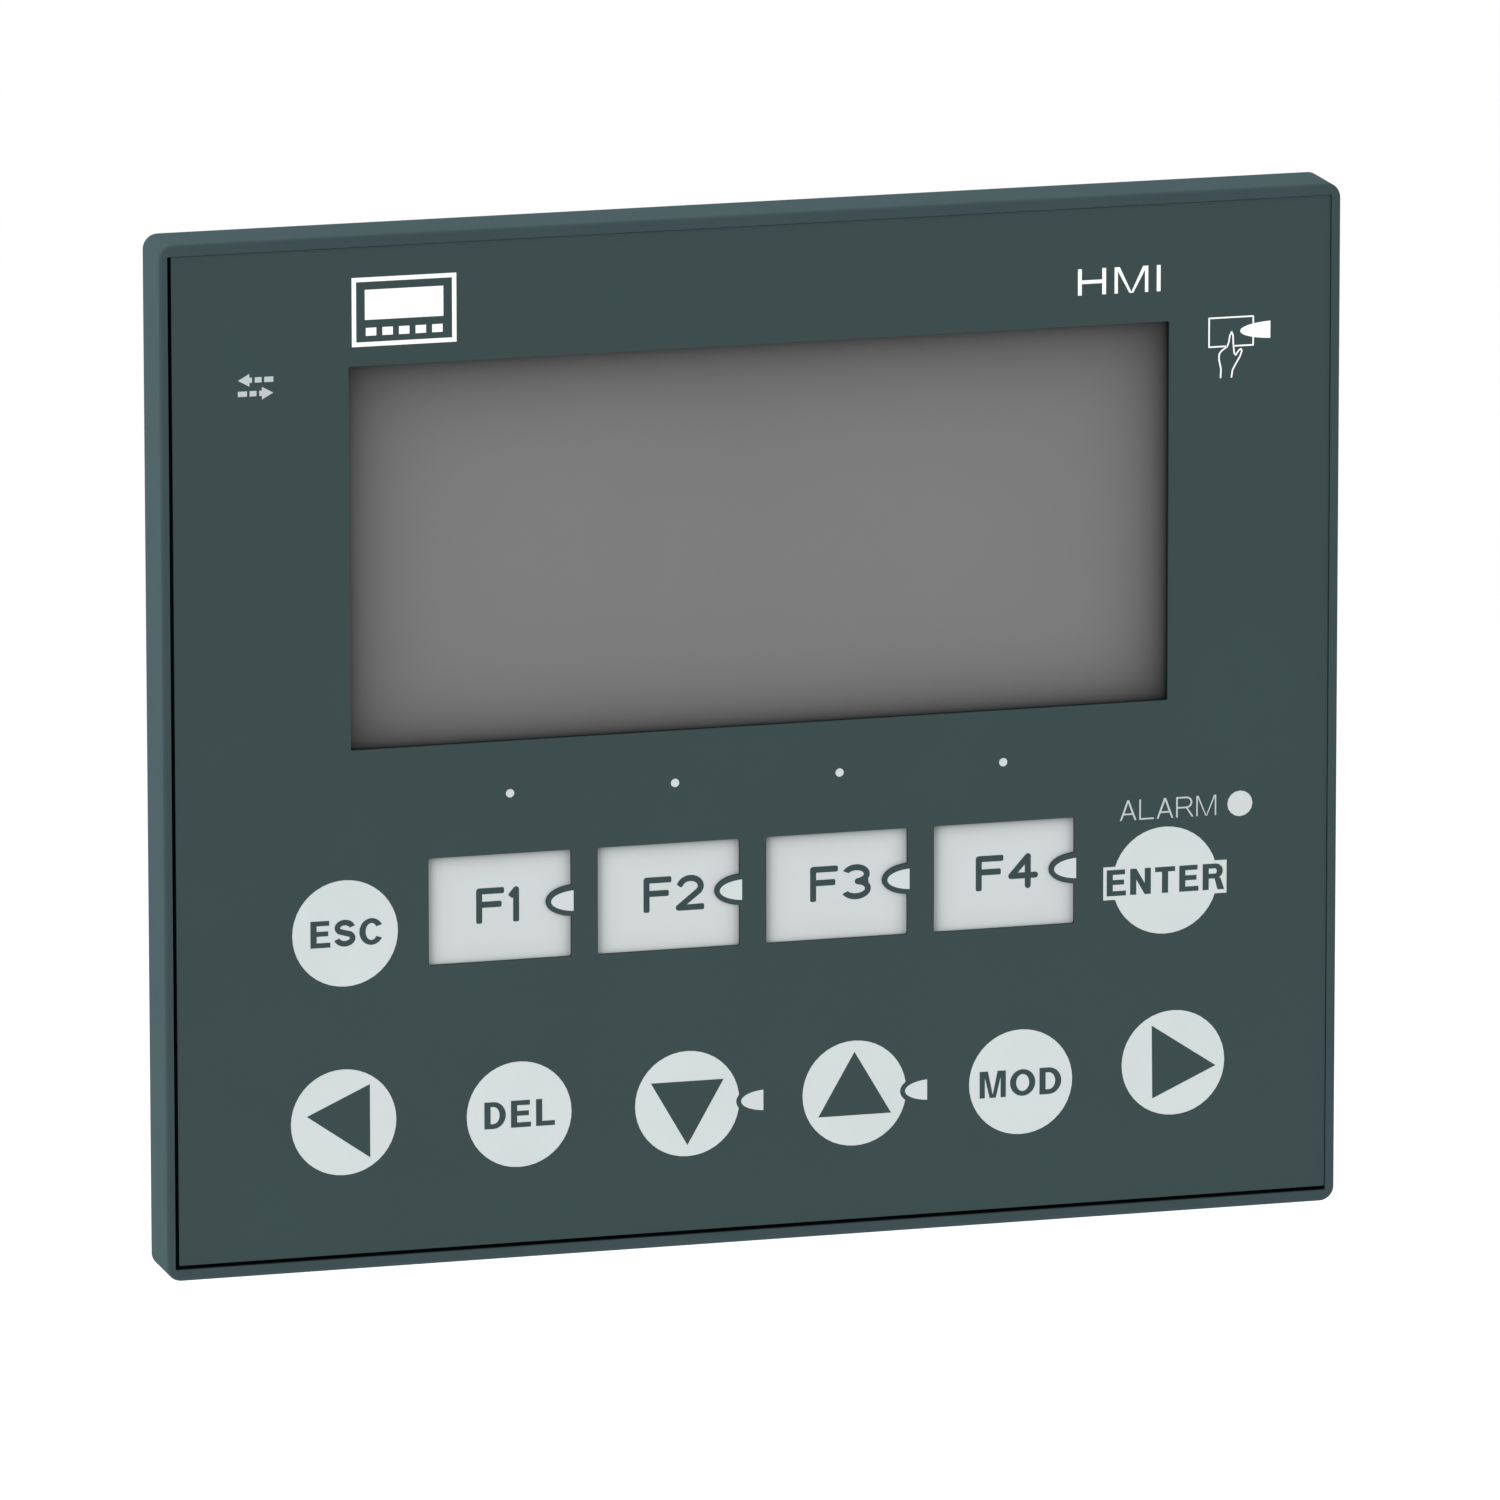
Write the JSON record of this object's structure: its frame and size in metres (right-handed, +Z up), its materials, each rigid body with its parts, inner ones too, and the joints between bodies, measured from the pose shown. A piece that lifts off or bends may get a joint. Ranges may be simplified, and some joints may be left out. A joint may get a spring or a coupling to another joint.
{
  "type": "hmi touch panel",
  "caption": "Flush panel-mount operator terminal: touch display above rows of function and control keys, with rear housing, connectors and sliding clamp clips.",
  "frame": {"origin": "centre of the panel cut-out, in the sealing plane at the back of the bezel", "axes": "+X right seen from the front, +Y into the cabinet, away from the operator, +Z up"},
  "size_m": [0.137, 0.037, 0.118],
  "materials": {
    "bezel": "fine matt moulded plastic",
    "overlay": "matt printed polyester foil",
    "gasket": "matt",
    "light_pipe": "clear moulded acrylic",
    "silicone": "matt",
    "board": "solder-masked laminate",
    "touch_glass": "hard-coated, satin",
    "steel": "zinc-plated, satin",
    "display": "grey liquid crystal panel",
    "light_guide": "white diffuser",
    "housing": "textured moulded plastic",
    "label": "blank foil",
    "socket_shell": "tin-plated, satin",
    "contact_block": "matt moulded plastic",
    "terminal_block": "moulded polyamide",
    "chip": "epoxy",
    "component": "sleeved",
    "key_cap": "printed matt plastic"
  },
  "bodies": {
    "terminal": {"front_bezel": "bezel", "front_overlay": "overlay", "panel_gasket": "gasket", "led_pipe_f1": "light_pipe", "led_pipe_f2": "light_pipe", "led_pipe_f3": "light_pipe", "led_pipe_f4": "light_pipe", "alarm_light_pipe": "light_pipe", "dome_sheet": "silicone", "keypad_board": "board", "touch_panel": "touch_glass", "lcd_frame": "steel", "lcd_glass": "display", "backlight": "light_guide", "lcd_board": "board", "rear_housing": "housing", "rear_label": "label", "serial_socket": "socket_shell", "serial_contact_block": "contact_block", "service_socket": "contact_block", "power_header": "terminal_block", "main_board": "board", "processor_chip": "chip", "memory_chip": "chip", "display_controller_chip": "chip", "power_converter": "chip", "isolation_transformer": "component", "input_capacitor": "component", "output_capacitor": "component", "jack_screw_1": "steel", "jack_screw_2": "steel", "housing_screw_1": "steel", "housing_screw_2": "steel", "housing_screw_3": "steel", "housing_screw_4": "steel"},
    "key_esc": {"key_esc": "key_cap"},
    "key_enter": {"key_enter": "key_cap"},
    "key_left": {"key_left": "key_cap"},
    "key_del": {"key_del": "key_cap"},
    "key_down": {"key_down": "key_cap"},
    "key_up": {"key_up": "key_cap"},
    "key_mod": {"key_mod": "key_cap"},
    "key_right": {"key_right": "key_cap"},
    "key_f1": {"key_f1": "key_cap"},
    "key_f2": {"key_f2": "key_cap"},
    "key_f3": {"key_f3": "key_cap"},
    "key_f4": {"key_f4": "key_cap"},
    "panel_clip_left_lower": {"panel_clip_left_lower": "steel"},
    "panel_clip_left_upper": {"panel_clip_left_upper": "steel"},
    "panel_clip_right_lower": {"panel_clip_right_lower": "steel"},
    "panel_clip_right_upper": {"panel_clip_right_upper": "steel"},
    "power_plug": {"power_plug": "terminal_block"},
    "clamp_screw_1": {"clamp_screw_1": "steel"},
    "clamp_screw_2": {"clamp_screw_2": "steel"},
    "clamp_screw_3": {"clamp_screw_3": "steel"}
  },
  "joints": [
    {"name": "key_esc_press", "type": "slide", "parent": "terminal", "child": "key_esc", "axis": [0, 1, 0], "range_m": [0, 0.0004], "stiffness_N_per_m": 600},
    {"name": "key_enter_press", "type": "slide", "parent": "terminal", "child": "key_enter", "axis": [0, 1, 0], "range_m": [0, 0.0004], "stiffness_N_per_m": 600},
    {"name": "key_left_press", "type": "slide", "parent": "terminal", "child": "key_left", "axis": [0, 1, 0], "range_m": [0, 0.0004], "stiffness_N_per_m": 600},
    {"name": "key_del_press", "type": "slide", "parent": "terminal", "child": "key_del", "axis": [0, 1, 0], "range_m": [0, 0.0004], "stiffness_N_per_m": 600},
    {"name": "key_down_press", "type": "slide", "parent": "terminal", "child": "key_down", "axis": [0, 1, 0], "range_m": [0, 0.0004], "stiffness_N_per_m": 600},
    {"name": "key_up_press", "type": "slide", "parent": "terminal", "child": "key_up", "axis": [0, 1, 0], "range_m": [0, 0.0004], "stiffness_N_per_m": 600},
    {"name": "key_mod_press", "type": "slide", "parent": "terminal", "child": "key_mod", "axis": [0, 1, 0], "range_m": [0, 0.0004], "stiffness_N_per_m": 600},
    {"name": "key_right_press", "type": "slide", "parent": "terminal", "child": "key_right", "axis": [0, 1, 0], "range_m": [0, 0.0004], "stiffness_N_per_m": 600},
    {"name": "key_f1_press", "type": "slide", "parent": "terminal", "child": "key_f1", "axis": [0, 1, 0], "range_m": [0, 0.0004], "stiffness_N_per_m": 600},
    {"name": "key_f2_press", "type": "slide", "parent": "terminal", "child": "key_f2", "axis": [0, 1, 0], "range_m": [0, 0.0004], "stiffness_N_per_m": 600},
    {"name": "key_f3_press", "type": "slide", "parent": "terminal", "child": "key_f3", "axis": [0, 1, 0], "range_m": [0, 0.0004], "stiffness_N_per_m": 600},
    {"name": "key_f4_press", "type": "slide", "parent": "terminal", "child": "key_f4", "axis": [0, 1, 0], "range_m": [0, 0.0004], "stiffness_N_per_m": 600},
    {"name": "panel_clip_left_lower_slide", "type": "slide", "parent": "terminal", "child": "panel_clip_left_lower", "axis": [0, -1, 0], "range_m": [0, 0.005]},
    {"name": "panel_clip_left_upper_slide", "type": "slide", "parent": "terminal", "child": "panel_clip_left_upper", "axis": [0, -1, 0], "range_m": [0, 0.005]},
    {"name": "panel_clip_right_lower_slide", "type": "slide", "parent": "terminal", "child": "panel_clip_right_lower", "axis": [0, -1, 0], "range_m": [0, 0.005]},
    {"name": "panel_clip_right_upper_slide", "type": "slide", "parent": "terminal", "child": "panel_clip_right_upper", "axis": [0, -1, 0], "range_m": [0, 0.005]},
    {"name": "power_plug_pull", "type": "slide", "parent": "terminal", "child": "power_plug", "axis": [0, 0, -1], "range_m": [0, 0.012]},
    {"name": "clamp_screw_1_turn", "type": "hinge", "parent": "power_plug", "child": "clamp_screw_1", "pos_m": [-0.04708, 0.0219, -0.0424], "axis": [0, 1, 0], "range_deg": [0, 990]},
    {"name": "clamp_screw_2_turn", "type": "hinge", "parent": "power_plug", "child": "clamp_screw_2", "pos_m": [-0.042, 0.0219, -0.0424], "axis": [0, 1, 0], "range_deg": [0, 990]},
    {"name": "clamp_screw_3_turn", "type": "hinge", "parent": "power_plug", "child": "clamp_screw_3", "pos_m": [-0.03692, 0.0219, -0.0424], "axis": [0, 1, 0], "range_deg": [0, 990]}
  ]
}
